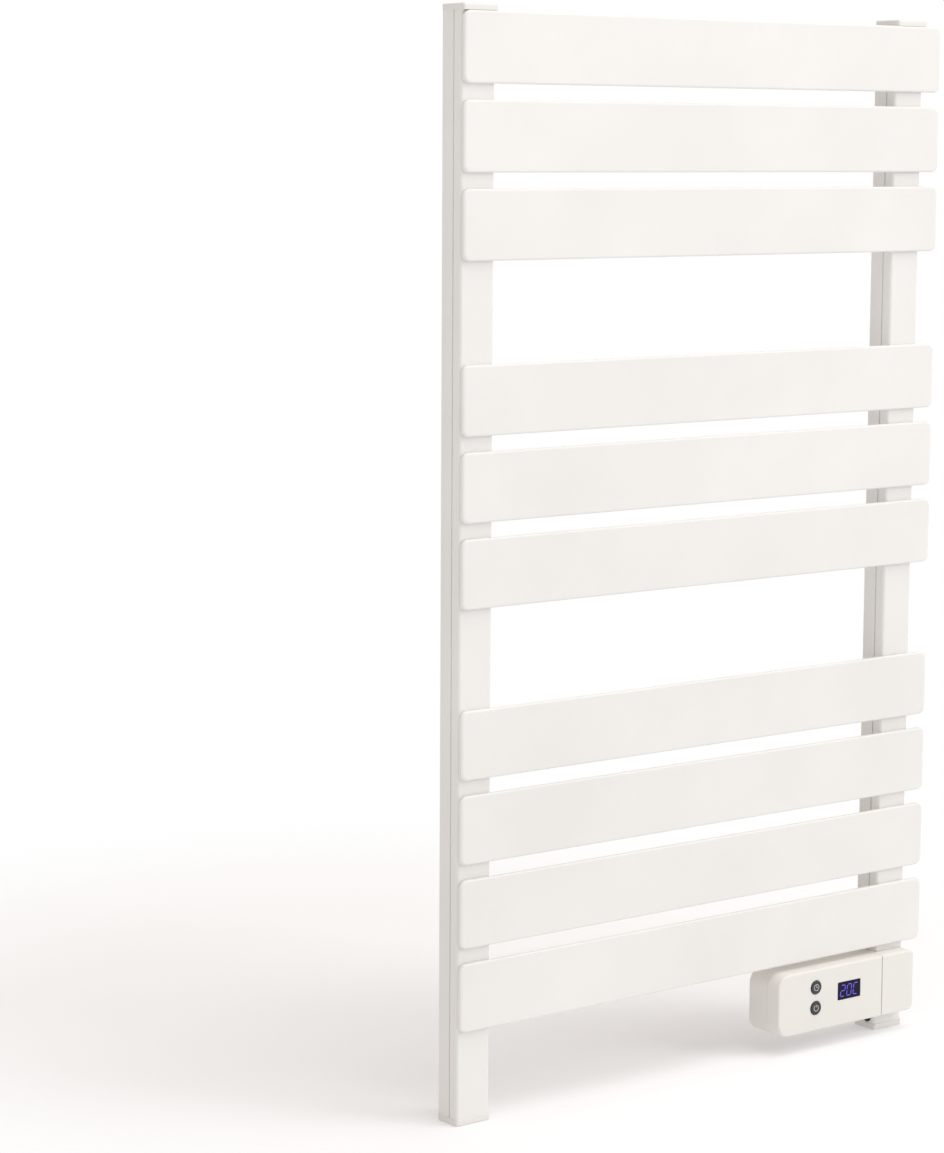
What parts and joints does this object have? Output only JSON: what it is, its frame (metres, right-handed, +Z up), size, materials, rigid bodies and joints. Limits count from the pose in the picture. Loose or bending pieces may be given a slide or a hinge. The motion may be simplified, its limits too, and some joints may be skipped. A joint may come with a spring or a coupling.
{
  "type": "towel warmer rack",
  "caption": "Wall-mounted electric towel warmer: flat horizontal bars in groups on two slim uprights, with a push-button digital control box at the foot of one upright.",
  "frame": {"origin": "middle of the rectangle of four wall screws, on the wall's surface", "axes": "+X to the right as seen from the room, +Y into the wall, +Z up"},
  "size_m": [0.5004, 0.0859, 0.86],
  "materials": {
    "frame_paint": "matt white powder coat",
    "cap_plastic": "fine-textured white plastic",
    "box_plastic": "fine-textured white plastic",
    "button_plastic": "dark grey plastic",
    "display_plastic": "dark smoked window",
    "segment_light": "blue-violet lit segments",
    "steel": "zinc-plated steel",
    "element_steel": "drawn steel sheath",
    "board": "green solder mask",
    "black_plastic": "black moulded plastic",
    "terminal_plastic": "green moulded plastic",
    "wire_copper": "copper",
    "rubber": "black rubber"
  },
  "bodies": {
    "wall_fixings": {"wall_posts": "cap_plastic"},
    "rack": {"left_upright": "frame_paint", "right_upright": "frame_paint", "left_top_cap": "cap_plastic", "right_top_cap": "cap_plastic", "left_foot_cap": "cap_plastic", "right_foot_cap": "cap_plastic", "slat_01": "frame_paint", "slat_02": "frame_paint", "slat_03": "frame_paint", "slat_04": "frame_paint", "slat_05": "frame_paint", "slat_06": "frame_paint", "slat_07": "frame_paint", "slat_08": "frame_paint", "slat_09": "frame_paint", "slat_10": "frame_paint", "slat_studs": "steel", "slat_nuts": "steel", "access_plugs": "cap_plastic", "left_heating_element": "element_steel", "right_heating_element": "element_steel", "thermal_cutout": "steel", "link_channel": "frame_paint", "link_cable": "black_plastic", "bracket_sleeves": "frame_paint", "bracket_screws": "steel", "bracket_set_screws": "steel", "box_mounting_plate": "steel", "mounting_plate_screws": "steel", "control_back_shell": "box_plastic", "control_front_shell": "box_plastic", "control_end_cover": "box_plastic", "shell_screws": "steel", "display_window": "display_plastic", "display_segments": "segment_light", "display_module": "black_plastic", "control_board": "board", "tactile_switches": "black_plastic", "relay": "black_plastic", "power_module": "black_plastic", "terminal_block": "terminal_plastic", "fuse": "steel", "temperature_sensor": "wire_copper", "wiring": "wire_copper", "cord_grommet": "rubber"},
    "timer_button_body": {"timer_button": "button_plastic"},
    "power_button_body": {"power_button": "button_plastic"}
  },
  "joints": [
    {"name": "wall_distance", "type": "slide", "parent": "wall_fixings", "child": "rack", "axis": [0, -1, 0], "range_m": [-0.01, 0.01]},
    {"name": "timer_button_press", "type": "slide", "parent": "rack", "child": "timer_button_body", "axis": [0, 1, 0], "range_m": [0, 0.0008], "stiffness_N_per_m": 2000, "springref_m": -0.0004},
    {"name": "power_button_press", "type": "slide", "parent": "rack", "child": "power_button_body", "axis": [0, 1, 0], "range_m": [0, 0.0008], "stiffness_N_per_m": 2000, "springref_m": -0.0004}
  ]
}
